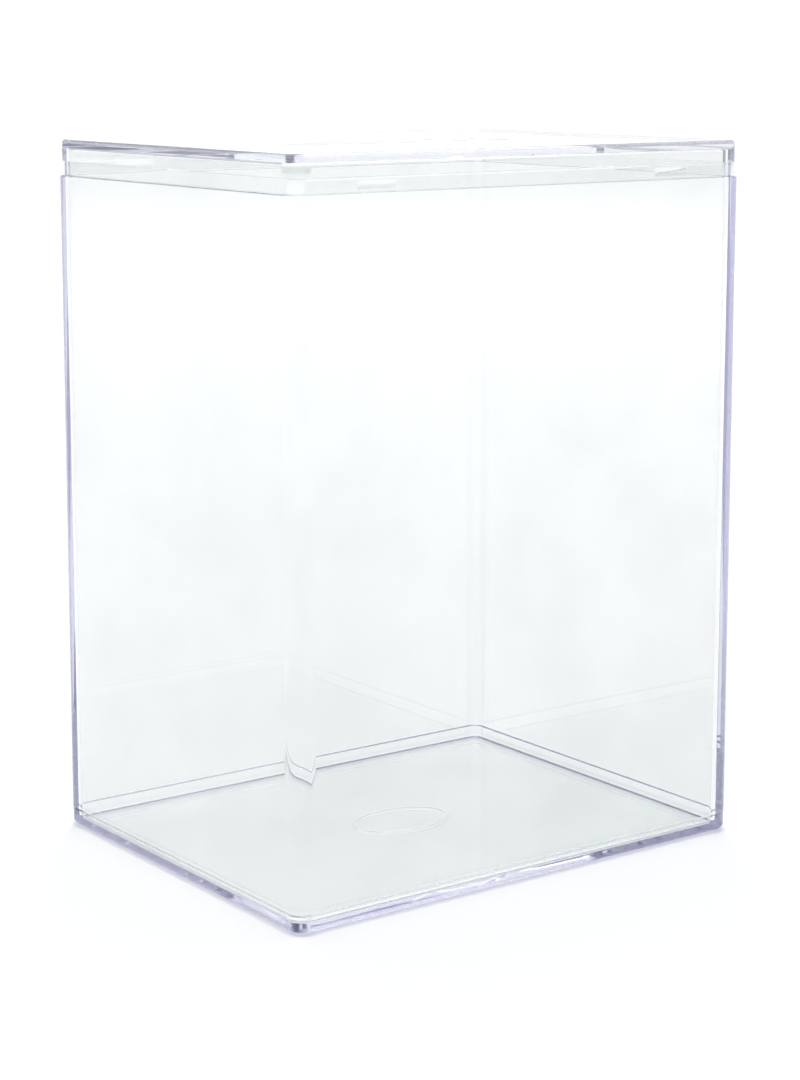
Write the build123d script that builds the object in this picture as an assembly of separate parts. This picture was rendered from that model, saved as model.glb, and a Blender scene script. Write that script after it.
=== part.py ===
"""A clear two-piece deck box for trading cards: a deep tub and a shallow lift-off lid.

Both pieces are thin-walled mouldings. The tub's rim is rebated into a thin neck, and the lid's
skirt is rebated the other way, so that the two meet in a half-lap joint and the closed box
looks like one block. Four low snap beads on the neck grip the skirt. A low rim runs round the
lid's top, and a fine groove round the tub sets off its foot.

Millimetres, +Z up. The origin is the centre of the underside, and the wide faces look along Y.
"""

import os

from build123d import *

# The closed box, and the radius of its upright corners
WIDTH = 72.4
DEPTH = 57.4
HEIGHT = 95.0
CORNER_RADIUS = 2.2

# The tub's walls thicken slightly from the rim to the floor, which lets the mould's core pull out
RIM_WALL = 1.3
FLOOR_WALL = 1.4
INNER_CORNER_RADIUS = 2.0
FLOOR_THICKNESS = 0.9
FLOOR_EDGE_RADIUS = 0.8

# The foot: the tub's bottom band, set in a little and parted from the walls by a fine groove
FOOT_HEIGHT = 2.4
FOOT_STEP = 0.1
FOOT_EDGE_RADIUS = 0.8
GROOVE_DEPTH = 0.22
GROOVE_HEIGHT = 0.15

# The half-lap joint between tub and lid
LID_HEIGHT = 4.84
NECK_HEIGHT = 1.87
NECK_INSET = 0.8
SHOULDER_EDGE_RADIUS = 0.15
SKIRT_CLEARANCE = 0.15
SEAM_GAP = 0.06

# The lid
LID_INSET = 0.25
LID_WALL = 1.15
LID_TOP_THICKNESS = 1.15
LID_CORNER_RADIUS = 2.1
LID_EDGE_RADIUS = 0.5

# The low rim round the lid's flat top panel
RIM_WIDTH = 1.6
RIM_HEIGHT = 0.3
RIM_SLOPE = 0.15
PANEL_CORNER_RADIUS = 0.6

# The snap beads: low domed pads on the neck's wide faces, near the corners
BEAD_WIDTH = 5.6
BEAD_HEIGHT = 1.3
BEAD_RISE = 0.08
BEAD_FROM_CORNER = 12.6

SHOULDER_Z = HEIGHT - LID_HEIGHT
NECK_TOP_Z = SHOULDER_Z + NECK_HEIGHT
SKIRT_Z = SHOULDER_Z + SEAM_GAP
STEP_Z = NECK_TOP_Z + SEAM_GAP


def outline(inset, radius, z):
    """The box's rounded rectangle at height z, drawn in by inset all round."""
    return Pos(0, 0, z) * RectangleRounded(WIDTH - 2 * inset, DEPTH - 2 * inset, radius)


def block(low_inset, low_z, high_inset, high_z, radius):
    """The solid between two outlines. It tapers where their insets differ."""
    return loft([outline(low_inset, radius, low_z), outline(high_inset, radius, high_z)])


def rounded_at(solid, z, radius):
    """The solid with the edges that lie all the way round it at height z rounded off."""
    level = [edge for edge in solid.edges() if abs(edge.center().Z - z) < 0.01]
    return fillet(level, radius)


def snap_beads():
    """Four low pads, each a slot shape that stands out of the neck by the bead's rise."""
    outward = DEPTH / 2 - NECK_INSET
    along = WIDTH / 2 - BEAD_FROM_CORNER
    middle_z = SHOULDER_Z + NECK_HEIGHT / 2
    profile = SlotOverall(BEAD_WIDTH, BEAD_HEIGHT)
    beads = Part()
    for side in (-1, 1):
        pad = extrude(Plane.XZ * profile, BEAD_RISE, both=True)
        for x in (-along, along):
            beads += Pos(x, side * outward, middle_z) * pad
    return beads


def make_tub():
    foot_radius = CORNER_RADIUS - FOOT_STEP
    groove_z = FOOT_HEIGHT - GROOVE_HEIGHT
    foot = block(FOOT_STEP, 0, FOOT_STEP, groove_z, foot_radius)
    foot = rounded_at(foot, 0, FOOT_EDGE_RADIUS)
    foot += block(FOOT_STEP, groove_z, GROOVE_DEPTH, FOOT_HEIGHT, foot_radius)
    walls = block(0, FOOT_HEIGHT, 0, SHOULDER_Z, CORNER_RADIUS)
    walls = rounded_at(walls, FOOT_HEIGHT, GROOVE_DEPTH)
    walls = rounded_at(walls, SHOULDER_Z, SHOULDER_EDGE_RADIUS)
    neck = block(NECK_INSET, SHOULDER_Z, NECK_INSET, NECK_TOP_Z, CORNER_RADIUS - NECK_INSET)
    bay = block(FLOOR_WALL, FLOOR_THICKNESS, RIM_WALL, NECK_TOP_Z, INNER_CORNER_RADIUS)
    bay = rounded_at(bay, FLOOR_THICKNESS, FLOOR_EDGE_RADIUS)
    return foot + walls + neck + snap_beads() - bay


def make_lid():
    shell = block(LID_INSET, SKIRT_Z, LID_INSET, HEIGHT, LID_CORNER_RADIUS)
    shell = rounded_at(shell, HEIGHT, LID_EDGE_RADIUS)
    skirt_inset = NECK_INSET - SKIRT_CLEARANCE
    rebate = block(skirt_inset, SKIRT_Z, skirt_inset, STEP_Z, CORNER_RADIUS - skirt_inset)
    crown_inset = LID_INSET + LID_WALL
    crown = block(crown_inset, STEP_Z, crown_inset, HEIGHT - LID_TOP_THICKNESS, INNER_CORNER_RADIUS)
    panel_inset = LID_INSET + RIM_WIDTH
    panel = block(panel_inset + RIM_SLOPE, HEIGHT - RIM_HEIGHT, panel_inset, HEIGHT, PANEL_CORNER_RADIUS)
    return shell - rebate - crown - panel


def main():
    os.makedirs("parts", exist_ok=True)
    export_step(make_tub(), "parts/tub.step")
    export_step(make_lid(), "parts/lid.step")


main()
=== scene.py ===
"""A clear two-piece deck box for trading cards, in moulded crystal polystyrene.

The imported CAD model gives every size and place. The tub and the lid are rebuilt here as smooth
shells with softened edges and moulding marks, because clear plastic shows every facet of a
coarse mesh. Metres, +Z up, origin at the centre of the underside.
"""

import math

import bmesh
import bpy
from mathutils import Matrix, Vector


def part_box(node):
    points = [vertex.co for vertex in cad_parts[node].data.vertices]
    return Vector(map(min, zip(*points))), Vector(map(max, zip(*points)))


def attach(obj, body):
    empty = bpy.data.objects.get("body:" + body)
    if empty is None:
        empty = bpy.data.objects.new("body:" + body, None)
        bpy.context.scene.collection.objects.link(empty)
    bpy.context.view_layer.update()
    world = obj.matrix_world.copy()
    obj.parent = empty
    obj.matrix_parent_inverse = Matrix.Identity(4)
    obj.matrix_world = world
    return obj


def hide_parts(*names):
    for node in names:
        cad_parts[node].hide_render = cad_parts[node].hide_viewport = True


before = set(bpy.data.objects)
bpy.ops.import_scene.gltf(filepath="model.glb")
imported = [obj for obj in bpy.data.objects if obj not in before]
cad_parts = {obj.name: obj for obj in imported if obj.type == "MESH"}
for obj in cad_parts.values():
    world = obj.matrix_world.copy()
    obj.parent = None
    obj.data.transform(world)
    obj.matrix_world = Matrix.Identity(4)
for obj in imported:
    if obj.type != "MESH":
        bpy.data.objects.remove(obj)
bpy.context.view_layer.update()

MM = 0.001
TUB_LOW, TUB_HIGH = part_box("tub")
LID_LOW, LID_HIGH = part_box("lid")

# The closed box
WIDTH = TUB_HIGH.x - TUB_LOW.x
DEPTH = TUB_HIGH.y - TUB_LOW.y
HEIGHT = LID_HIGH.z
CORNER_RADIUS = 2.2 * MM
CRISP_EDGE = 0.05 * MM

# The tub
RIM_WALL = 1.3 * MM
FLOOR_WALL = 1.4 * MM
INNER_CORNER_RADIUS = 2.0 * MM
FLOOR_THICKNESS = 0.9 * MM
FLOOR_EDGE_RADIUS = 0.8 * MM
FOOT_HEIGHT = 2.4 * MM
FOOT_STEP = 0.1 * MM
GROOVE_DEPTH = 0.22 * MM
GROOVE_HEIGHT = 0.15 * MM
FOOT_EDGE_RADIUS = 0.8 * MM
NECK_HEIGHT = 1.87 * MM
NECK_INSET = 0.8 * MM
SHOULDER_EDGE_RADIUS = 0.15 * MM

# The snap beads on the neck
BEAD_WIDTH = 5.6 * MM
BEAD_HEIGHT = 1.3 * MM
BEAD_RISE = 0.08 * MM
BEAD_MARGIN = 0.02 * MM
BEAD_SLOPE = 0.2 * MM
BEAD_FROM_CORNER = 12.6 * MM

# The lid
LID_INSET = (WIDTH - (LID_HIGH.x - LID_LOW.x)) / 2
LID_WALL = 1.15 * MM
LID_TOP_THICKNESS = 1.15 * MM
LID_CORNER_RADIUS = 2.1 * MM
LID_EDGE_RADIUS = 0.5 * MM
CROWN_EDGE_RADIUS = 0.3 * MM
RIM_WIDTH = 1.6 * MM
RIM_HEIGHT = 0.3 * MM
RIM_SLOPE = 0.15 * MM
SKIRT_CLEARANCE = 0.15 * MM
SEAM_GAP = 0.06 * MM

NECK_TOP_Z = TUB_HIGH.z
SHOULDER_Z = NECK_TOP_Z - NECK_HEIGHT
STEP_Z = NECK_TOP_Z + SEAM_GAP

# The moulded marks: a row of small card outlines on the lid, and an oval on the tub's floor
MARK_CARDS = 5
MARK_PITCH = 7.4 * MM
MARK_SIZE = (4.6 * MM, 6.6 * MM)
MARK_FAN = math.radians(9)
MARK_RIB = 0.3 * MM
MARK_SLOPE = 0.2 * MM
MARK_RISE = 0.05 * MM
OVAL_SIZE = (15.0 * MM, 10.0 * MM)
OVAL_SIDES = 40

# How finely the round corners and edges are divided
CORNER_SEGMENTS = 12
ROUND_SEGMENTS = 8
GROOVE_SEGMENTS = 4
SHOULDER_SEGMENTS = 3
CRISP_SEGMENTS = 2
CREASE_ANGLE = math.radians(30)
SAME_PLACE = 1e-7

# The camera looks a little down on one upright corner, and its shift lifts the box in the frame
CAMERA_LENS = 83.27
CAMERA_SHIFT = -0.1
CAMERA_PLACE = (-0.1989, -0.2705, 0.1081)
CAMERA_YAW = math.radians(36.39)
CAMERA_PITCH = math.radians(8.92)

# Light levels round the box, and the way to the backdrop
BACKDROP_WAY = Vector((0.5909, 0.8068, 0))
UPWARD = Vector((0, 0, 1))
ROOM = (0.32, 0.33, 0.39, 1)
BACKDROP = (1.12, 1.12, 1.12, 1)
CEILING = (1.54, 1.54, 1.54, 1)
SOFTBOX_WAY_OUT = 0.9
SOFTBOX_RISE = 0.5
SOFTBOX_SIZE = 0.5
SOFTBOX_POWER = 1.3
LIGHT_BOUNCES = 128
FLOOR_REACH = 2.0
FLOOR_DROP = 0.2 * MM


# ---------------------------------------------------------------- camera

def srgb(hex_colour):
    """A six-digit sRGB hex colour as linear RGBA."""
    channels = [int(hex_colour[i:i + 2], 16) / 255 for i in (0, 2, 4)]
    return [c / 12.92 if c <= 0.04045 else ((c + 0.055) / 1.055) ** 2.4 for c in channels] + [1.0]


def add_camera():
    data = bpy.data.cameras.new("camera")
    data.lens = CAMERA_LENS
    data.shift_y = CAMERA_SHIFT
    data.clip_start = 0.01
    camera = bpy.data.objects.new("camera", data)
    camera.location = CAMERA_PLACE
    camera.rotation_euler = (math.radians(90) - CAMERA_PITCH, 0, -CAMERA_YAW)
    bpy.context.scene.collection.objects.link(camera)
    bpy.context.scene.camera = camera


add_camera()


# ---------------------------------------------------------------- mesh helpers

def rounded_block(width, depth, radius, low_z, high_z):
    """A bmesh that holds one closed block with rounded upright corners."""
    bm = bmesh.new()
    bmesh.ops.create_grid(bm, x_segments=1, y_segments=1, size=0.5)
    bmesh.ops.scale(bm, vec=(width, depth, 1), verts=bm.verts)
    bmesh.ops.bevel(bm, geom=bm.verts[:], offset=radius, affect="VERTICES",
                    segments=CORNER_SEGMENTS, profile=0.5, material=-1)
    bmesh.ops.translate(bm, vec=(0, 0, low_z), verts=bm.verts)
    made = bmesh.ops.extrude_face_region(bm, geom=bm.faces[:])
    raised = [v for v in made["geom"] if isinstance(v, bmesh.types.BMVert)]
    bmesh.ops.translate(bm, vec=(0, 0, high_z - low_z), verts=raised)
    return bm


def level_face(bm, z):
    """The largest level face at height z."""
    level = [f for f in bm.faces if all(abs(v.co.z - z) < SAME_PLACE for v in f.verts)]
    return max(level, key=lambda f: f.calc_area())


def draw(bm, face, rise):
    """Extrudes a face by rise along Z, and returns the face that it becomes."""
    bmesh.ops.inset_region(bm, faces=[face], thickness=0, use_even_offset=True)
    bmesh.ops.translate(bm, vec=(0, 0, rise), verts=face.verts)
    return face


def draw_in(bm, face, inset):
    """Insets a face all round and returns it."""
    bmesh.ops.inset_region(bm, faces=[face], thickness=inset, use_even_offset=True)
    return face


def slope_in(bm, face, inset, rise):
    """Insets a face and moves it by rise along Z, so that a slope surrounds it."""
    draw_in(bm, face, inset)
    bmesh.ops.translate(bm, vec=(0, 0, rise), verts=face.verts)
    return face


def face_under(bm, point):
    """The level face that holds a point."""
    level = [f for f in bm.faces if all(abs(v.co.z - point.z) < SAME_PLACE for v in f.verts)]
    return next(f for f in level if bmesh.geometry.intersect_face_point(f, point))


def cut(bm, faces, point, normal):
    """Cuts faces along a plane."""
    edges = {e for f in faces for e in f.edges}
    verts = {v for f in faces for v in f.verts}
    bmesh.ops.bisect_plane(bm, geom=list(faces) + list(edges) + list(verts),
                           plane_co=point, plane_no=normal, dist=1e-8)
    bm.normal_update()


def cut_out(bm, centre, lines):
    """Cuts the level face round a centre along each line, and returns the piece in the middle."""
    for point, normal in lines:
        cut(bm, [face_under(bm, centre)], centre + point, normal)
    return face_under(bm, centre)


def round_loop(bm, edges, radius, segments):
    """Rounds off a loop of edges."""
    bmesh.ops.bevel(bm, geom=edges, offset=radius, affect="EDGES", segments=segments,
                    profile=0.5, material=-1, clamp_overlap=True)


def line_with(bm, inner, join_z):
    """Opens the shell and its cavity at height join_z, and joins their rims into one body."""
    for part in (bm, inner):
        bmesh.ops.recalc_face_normals(part, faces=part.faces)
        bmesh.ops.delete(part, geom=[level_face(part, join_z)], context="FACES_ONLY")
    bmesh.ops.reverse_faces(inner, faces=inner.faces)
    cavity = bpy.data.meshes.new("cavity")
    inner.to_mesh(cavity)
    inner.free()
    bm.from_mesh(cavity)
    bpy.data.meshes.remove(cavity)
    rims = [e for e in bm.edges if e.is_boundary]
    bmesh.ops.bridge_loops(bm, edges=rims)


def piece(name, bm, material, body, node):
    """Closes a shell's bmesh into a smooth-shaded piece that stands for a CAD node."""
    bmesh.ops.remove_doubles(bm, verts=bm.verts, dist=SAME_PLACE)
    bmesh.ops.recalc_face_normals(bm, faces=bm.faces)
    mesh = bpy.data.meshes.new(name)
    bm.to_mesh(mesh)
    bm.free()
    mesh.shade_smooth()
    mesh.set_sharp_from_angle(angle=CREASE_ANGLE)
    mesh.materials.append(material)
    shell = bpy.data.objects.new(name, mesh)
    bpy.context.scene.collection.objects.link(shell)
    weighted = shell.modifiers.new("flat faces stay flat", "WEIGHTED_NORMAL")
    weighted.mode = "FACE_AREA"
    weighted.weight = 100
    weighted.keep_sharp = True
    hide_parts(node)
    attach(shell, body)


# ---------------------------------------------------------------- moulded details

def raise_snap_beads(bm):
    """Four low pads with sloped sides on the neck's wide faces."""
    side_y = DEPTH / 2 - NECK_INSET
    along = WIDTH / 2 - BEAD_FROM_CORNER
    middle_z = SHOULDER_Z + NECK_HEIGHT / 2
    cuts = [(Vector((side * along + end * BEAD_WIDTH / 2, 0, 0)), Vector((1, 0, 0)))
            for side in (-1, 1) for end in (-1, 1)]
    cuts += [(Vector((0, 0, middle_z + end * BEAD_HEIGHT / 2)), UPWARD) for end in (-1, 1)]
    for point, normal in cuts:
        neck = [f for f in bm.faces if f.calc_center_median().z > SHOULDER_Z
                and all(abs(abs(v.co.y) - side_y) < SAME_PLACE for v in f.verts)]
        cut(bm, neck, point, normal)
    for side in (-1, 1):
        for end in (-1, 1):
            centre = Vector((end * along, side * side_y, middle_z))
            pad = min(bm.faces, key=lambda f: (f.calc_center_median() - centre).length)
            draw_in(bm, pad, BEAD_MARGIN)
            draw_in(bm, pad, BEAD_SLOPE)
            bmesh.ops.translate(bm, vec=(0, side * BEAD_RISE, 0), verts=pad.verts)


def raise_rib(bm, face):
    """Turns a face's border into a low rib with sloped sides."""
    slope_in(bm, face, MARK_SLOPE, MARK_RISE)
    draw_in(bm, face, MARK_RIB)
    slope_in(bm, face, MARK_SLOPE, -MARK_RISE)


def mark_lid(bm, z):
    """A row of small card outlines, each turned a little further than the one before."""
    bm.normal_update()
    for i in range(MARK_CARDS):
        place = i - (MARK_CARDS - 1) / 2
        centre = Vector((place * MARK_PITCH, 0, z))
        ends = [(Vector((side * MARK_PITCH / 2, 0, 0)), Vector((1, 0, 0))) for side in (-1, 1)]
        cut_out(bm, centre, ends)
        turn = -place * MARK_FAN
        across = Vector((math.cos(turn), math.sin(turn), 0))
        along = Vector((-math.sin(turn), math.cos(turn), 0))
        sides = [(side * across * MARK_SIZE[0] / 2, across) for side in (-1, 1)]
        sides += [(side * along * MARK_SIZE[1] / 2, along) for side in (-1, 1)]
        raise_rib(bm, cut_out(bm, centre, sides))


def mark_floor(bm):
    """A plain oval rib in the middle of the floor."""
    bm.normal_update()
    half_x = OVAL_SIZE[0] / 2
    half_y = OVAL_SIZE[1] / 2
    turns = [math.tau * i / OVAL_SIDES for i in range(OVAL_SIDES)]
    tangents = [(Vector((half_x * math.cos(t), half_y * math.sin(t), 0)),
                 Vector((math.cos(t) / half_x, math.sin(t) / half_y, 0)).normalized()) for t in turns]
    raise_rib(bm, cut_out(bm, Vector((0, 0, FLOOR_THICKNESS)), tangents))


# ---------------------------------------------------------------- the two mouldings

def make_tub(material):
    bm = rounded_block(WIDTH, DEPTH, CORNER_RADIUS, FOOT_HEIGHT, SHOULDER_Z)
    round_loop(bm, level_face(bm, SHOULDER_Z).edges[:], SHOULDER_EDGE_RADIUS, SHOULDER_SEGMENTS)
    round_loop(bm, level_face(bm, FOOT_HEIGHT).edges[:], GROOVE_DEPTH, GROOVE_SEGMENTS)
    under = draw(bm, level_face(bm, FOOT_HEIGHT), -GROOVE_HEIGHT)
    outward = GROOVE_DEPTH - FOOT_STEP
    widen = (1 + outward / (WIDTH / 2), 1 + outward / (DEPTH / 2), 1)
    bmesh.ops.scale(bm, vec=widen, verts=under.verts)
    under = draw(bm, under, GROOVE_HEIGHT - FOOT_HEIGHT)
    round_loop(bm, under.edges[:], FOOT_EDGE_RADIUS, ROUND_SEGMENTS)
    top = draw_in(bm, level_face(bm, SHOULDER_Z), NECK_INSET - SHOULDER_EDGE_RADIUS)
    top = draw(bm, top, NECK_HEIGHT)
    round_loop(bm, top.edges[:], CRISP_EDGE, CRISP_SEGMENTS)
    raise_snap_beads(bm)

    bay = rounded_block(WIDTH - 2 * RIM_WALL, DEPTH - 2 * RIM_WALL, INNER_CORNER_RADIUS,
                        FLOOR_THICKNESS, NECK_TOP_Z)
    floor = level_face(bay, FLOOR_THICKNESS)
    narrowing = FLOOR_WALL - RIM_WALL
    narrow = (1 - narrowing / (WIDTH / 2 - RIM_WALL), 1 - narrowing / (DEPTH / 2 - RIM_WALL), 1)
    bmesh.ops.scale(bay, vec=narrow, verts=floor.verts)
    round_loop(bay, floor.edges[:], FLOOR_EDGE_RADIUS, ROUND_SEGMENTS)
    mark_floor(bay)
    line_with(bm, bay, NECK_TOP_Z)
    piece("tub_shell", bm, material, "tub", "tub")


def make_lid(material):
    bottom_z = LID_LOW.z
    bm = rounded_block(WIDTH - 2 * LID_INSET, DEPTH - 2 * LID_INSET, LID_CORNER_RADIUS,
                       bottom_z, HEIGHT)
    round_loop(bm, level_face(bm, HEIGHT).edges[:], LID_EDGE_RADIUS, ROUND_SEGMENTS)
    panel = draw_in(bm, level_face(bm, HEIGHT), RIM_WIDTH - LID_EDGE_RADIUS)
    panel = slope_in(bm, panel, RIM_SLOPE, -RIM_HEIGHT)
    mark_lid(bm, panel.verts[0].co.z)
    under = level_face(bm, bottom_z)
    round_loop(bm, under.edges[:], CRISP_EDGE, CRISP_SEGMENTS)
    skirt_wall = NECK_INSET - SKIRT_CLEARANCE - LID_INSET
    under = draw_in(bm, level_face(bm, bottom_z), skirt_wall - CRISP_EDGE)
    draw(bm, under, STEP_Z - bottom_z)

    crown_inset = LID_INSET + LID_WALL
    crown_top = HEIGHT - LID_TOP_THICKNESS
    crown = rounded_block(WIDTH - 2 * crown_inset, DEPTH - 2 * crown_inset, INNER_CORNER_RADIUS,
                          STEP_Z, crown_top)
    round_loop(crown, level_face(crown, crown_top).edges[:], CROWN_EDGE_RADIUS, ROUND_SEGMENTS)
    line_with(bm, crown, STEP_Z)
    piece("lid_shell", bm, material, "lid", "lid")


# ---------------------------------------------------------------- materials

def add_node(tree, kind, settings, inputs):
    """Adds a node, with its settings, and with its inputs given as values or as linked sockets."""
    node = tree.nodes.new(kind)
    for name, value in settings.items():
        setattr(node, name, value)
    for name, value in inputs.items():
        if isinstance(value, bpy.types.NodeSocket):
            tree.links.new(value, node.inputs[name])
        else:
            node.inputs[name].default_value = value
    return node


def crystal_polystyrene(name, density):
    """Clear, glossy, faintly green plastic from a polished mould.

    The volume takes out a little green and red light. That turns an edge lavender, because the
    light in it has come along the whole wall. A higher density makes the lavender deeper.
    """
    material = bpy.data.materials.new(name)
    material.use_nodes = True
    tree = material.node_tree
    surface = tree.nodes["Principled BSDF"]
    surface.inputs["IOR"].default_value = 1.59
    surface.inputs["Transmission Weight"].default_value = 1.0
    place = add_node(tree, "ShaderNodeTexCoord", {}, {}).outputs["Object"]

    # Faint clouds, about 20 mm across, of the haze that handling leaves on a clear wall.
    clouds = add_node(tree, "ShaderNodeTexNoise", {}, {
        "Vector": place, "Scale": 1 / (20 * MM), "Detail": 3.0, "Roughness": 0.6})
    haze = add_node(tree, "ShaderNodeMapRange", {"interpolation_type": "SMOOTHSTEP"}, {
        "Value": clouds.outputs["Fac"], "From Min": 0.4, "From Max": 0.65})
    tint = add_node(tree, "ShaderNodeMixRGB", {}, {
        "Fac": haze.outputs["Result"], "Color1": srgb("f7f9f8"), "Color2": srgb("f4f6f5")})

    # Sparse grey dust specks, under half a millimetre wide.
    grains = add_node(tree, "ShaderNodeTexVoronoi", {}, {"Vector": place, "Scale": 1 / (9 * MM)})
    speck = add_node(tree, "ShaderNodeMapRange", {}, {
        "Value": grains.outputs["Distance"], "From Min": 0.012, "From Max": 0.02})
    speckled = add_node(tree, "ShaderNodeMixRGB", {}, {
        "Fac": speck.outputs["Result"], "Color1": srgb("d2d6d5"), "Color2": tint.outputs["Color"]})
    tree.links.new(speckled.outputs["Color"], surface.inputs["Base Color"])

    # Rare scuffs, about 1 mm wide and 25 mm long, where the polish is dulled and highlights break up.
    streaks = add_node(tree, "ShaderNodeMapping", {}, {
        "Vector": place, "Rotation": (0.3, 0.5, 0.2), "Scale": (0.9 / MM, 0.9 / MM, 0.04 / MM)})
    scratch = add_node(tree, "ShaderNodeTexNoise", {}, {
        "Vector": streaks.outputs["Vector"], "Scale": 1.0})
    scuffs = add_node(tree, "ShaderNodeMapRange", {}, {
        "Value": scratch.outputs["Fac"], "From Min": 0.7, "From Max": 0.78,
        "To Min": 0.0, "To Max": 0.12})
    tree.links.new(scuffs.outputs["Result"], surface.inputs["Roughness"])

    # The slow unevenness of a moulded wall, which bends what is seen through it a little.
    swell = add_node(tree, "ShaderNodeTexNoise", {}, {
        "Vector": place, "Scale": 1 / (16 * MM), "Detail": 1.0})
    wave = add_node(tree, "ShaderNodeBump", {}, {
        "Height": swell.outputs["Fac"], "Strength": 1.0, "Distance": 0.003 * MM})
    tree.links.new(wave.outputs["Normal"], surface.inputs["Normal"])

    depth = add_node(tree, "ShaderNodeVolumeAbsorption", {}, {
        "Color": srgb("bebce2"), "Density": density})
    tree.links.new(depth.outputs["Volume"], tree.nodes["Material Output"].inputs["Volume"])
    return material


make_tub(crystal_polystyrene("tub_polystyrene", 9.0))
make_lid(crystal_polystyrene("lid_polystyrene", 3.0))


# ---------------------------------------------------------------- floor and light

def make_stage():
    """White paper under the box. It lies just below the origin, clear of the box's underside."""
    bm = bmesh.new()
    bmesh.ops.create_grid(bm, x_segments=1, y_segments=1, size=FLOOR_REACH)
    bmesh.ops.translate(bm, vec=(0, 0, -FLOOR_DROP), verts=bm.verts)
    mesh = bpy.data.meshes.new("floor")
    bm.to_mesh(mesh)
    bm.free()
    paper = bpy.data.materials.new("white_paper")
    paper.use_nodes = True
    surface = paper.node_tree.nodes["Principled BSDF"]
    surface.inputs["Base Color"].default_value = srgb("f8f8f8")
    surface.inputs["Roughness"].default_value = 0.8
    surface.inputs["Specular IOR Level"].default_value = 0.0
    mesh.materials.append(paper)
    floor = bpy.data.objects.new("floor", mesh)
    bpy.context.scene.collection.objects.link(floor)


def add_softbox():
    """A round lamp over the floor behind the box. It shines straight down."""
    lamp = bpy.data.lights.new("backdrop_softbox", "AREA")
    lamp.shape = "DISK"
    lamp.size = SOFTBOX_SIZE
    lamp.energy = SOFTBOX_POWER
    softbox = bpy.data.objects.new("backdrop_softbox", lamp)
    softbox.location = BACKDROP_WAY * SOFTBOX_WAY_OUT + UPWARD * SOFTBOX_RISE
    bpy.context.scene.collection.objects.link(softbox)


def light_scene():
    """A dim room with a bright ceiling and a bright backdrop behind the box."""
    world = bpy.data.worlds.new("studio")
    bpy.context.scene.world = world
    world.use_nodes = True
    tree = world.node_tree
    way = add_node(tree, "ShaderNodeTexCoord", {}, {}).outputs["Generated"]
    colour = ROOM
    for axis, low, high, glow in ((BACKDROP_WAY, 0.45, 0.8, BACKDROP), (UPWARD, 0.55, 0.75, CEILING)):
        facing = add_node(tree, "ShaderNodeVectorMath", {"operation": "DOT_PRODUCT"}, {
            0: way, 1: axis})
        reach = add_node(tree, "ShaderNodeMapRange", {"interpolation_type": "SMOOTHSTEP"}, {
            "Value": facing.outputs["Value"], "From Min": low, "From Max": high})
        mix = add_node(tree, "ShaderNodeMixRGB", {}, {
            "Fac": reach.outputs["Result"], "Color1": colour, "Color2": glow})
        colour = mix.outputs["Color"]
    tree.links.new(colour, tree.nodes["Background"].inputs["Color"])


def let_light_through():
    """Light that runs along a wall is reflected many times, and stays sharp."""
    cycles = bpy.context.scene.cycles
    cycles.blur_glossy = 0.0
    cycles.max_bounces = LIGHT_BOUNCES
    cycles.transmission_bounces = LIGHT_BOUNCES
    cycles.glossy_bounces = LIGHT_BOUNCES


make_stage()
light_scene()
add_softbox()
let_light_through()
bpy.context.scene.view_settings.view_transform = "Standard"
